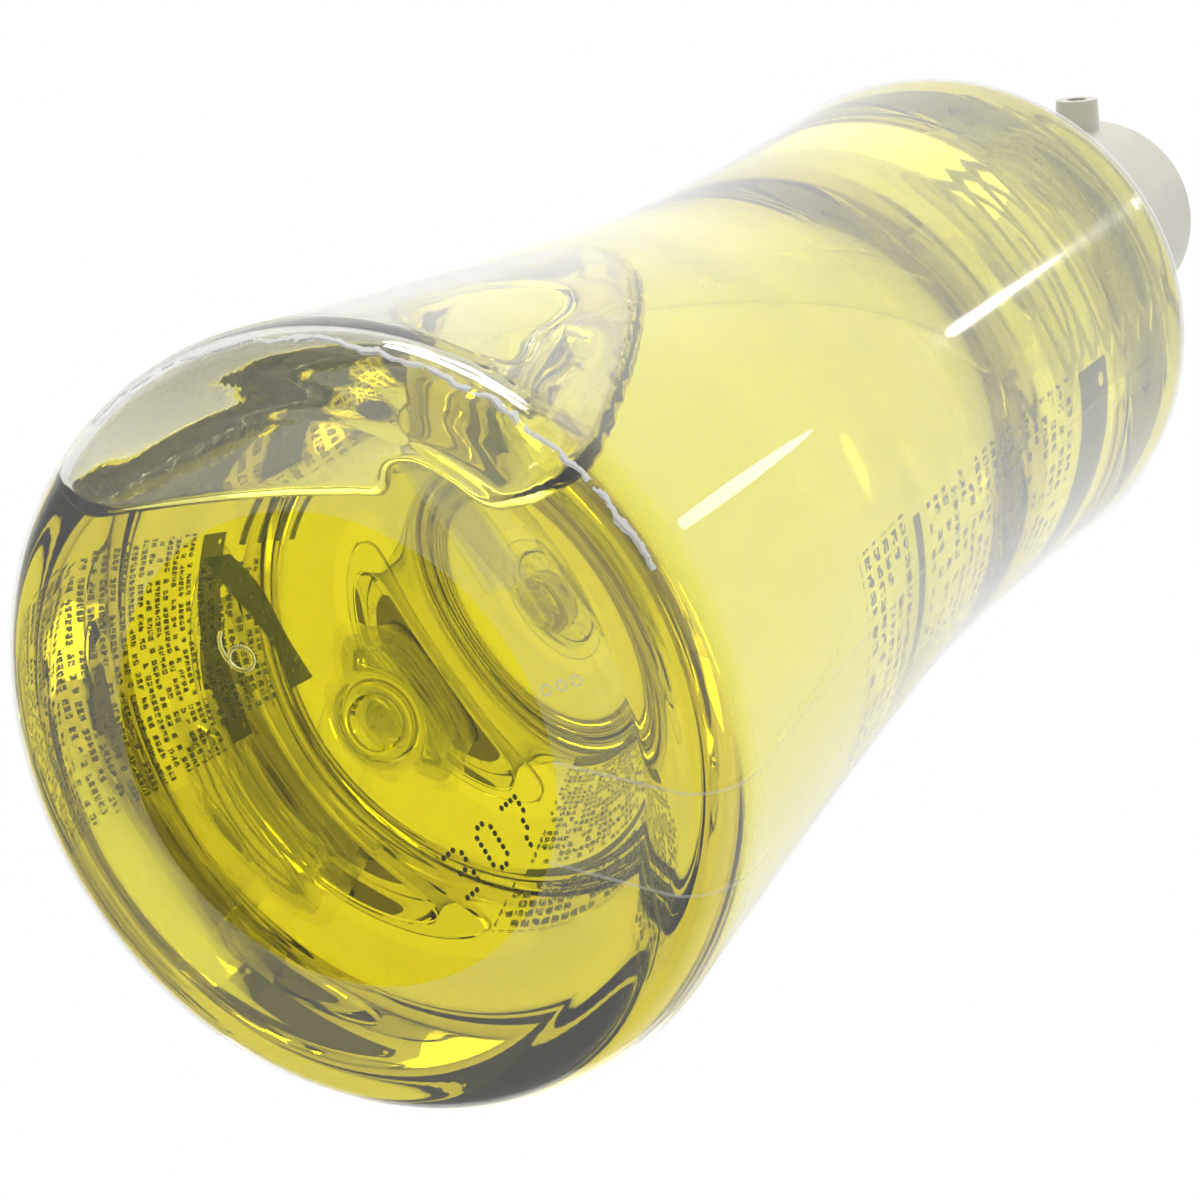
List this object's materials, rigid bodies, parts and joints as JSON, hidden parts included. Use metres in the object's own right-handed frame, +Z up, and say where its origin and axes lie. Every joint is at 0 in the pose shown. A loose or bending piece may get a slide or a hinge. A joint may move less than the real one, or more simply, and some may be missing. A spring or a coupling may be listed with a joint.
{
  "type": "hair oil bottle",
  "caption": "Clear waisted bottle of yellow oil in a shrink film, with a white lotion pump, a short spout and a bent dip tube.",
  "frame": {"origin": "centre of the flat ring that the bottle stands on", "axes": "+Z up along the bottle's axis, -Y towards the front label, +X to the right; at rest the spout points 52 degrees from -Y towards +X"},
  "size_m": [0.057, 0.057, 0.1912],
  "materials": {
    "pet": "clear blown plastic",
    "oil": "clear yellow oil",
    "label": "clear film label with dark print",
    "film": "clear shrink film, slightly hazy",
    "white_plastic": "moulded, satin",
    "natural_plastic": "translucent moulded plastic",
    "gasket": "soft white washer",
    "steel": "stainless, bright"
  },
  "bodies": {
    "root": {"bottle": "pet", "oil": "oil", "front_label": "label", "back_label": "label", "shrink_film": "film"},
    "pump_body": {"pump_housing": "natural_plastic", "chaplet": "white_plastic", "gasket": "gasket", "valve_cage": "natural_plastic", "inlet_ball": "steel", "spring": "steel", "dip_tube": "natural_plastic"},
    "closure": {"closure": "white_plastic"},
    "plunger": {"piston": "natural_plastic"},
    "head": {"stem": "white_plastic", "pump_head": "white_plastic", "discharge_ball": "steel"}
  },
  "joints": [
    {"name": "pump_lift", "type": "slide", "parent": "root", "child": "pump_body", "axis": [0, 0, 1], "range_m": [0, 0.00477], "deforming": ["oil"]},
    {"name": "closure_turn", "type": "hinge", "parent": "pump_body", "child": "closure", "pos_m": [0, 0, 0.148], "axis": [0, 0, 1], "range_deg": [0, 540]},
    {"name": "press", "type": "slide", "parent": "pump_body", "child": "plunger", "axis": [0, 0, 1], "range_m": [-0.008, 0], "stiffness_N_per_m": 600, "springref_m": 0.004, "deforming": ["spring"]},
    {"name": "head_turn", "type": "hinge", "parent": "plunger", "child": "head", "pos_m": [0, 0, 0.16], "axis": [0, 0, 1], "continuous": true}
  ],
  "couplings": [
    {"joint": "closure_turn", "follows": "pump_lift", "rad_per_m": 1975.8}
  ]
}
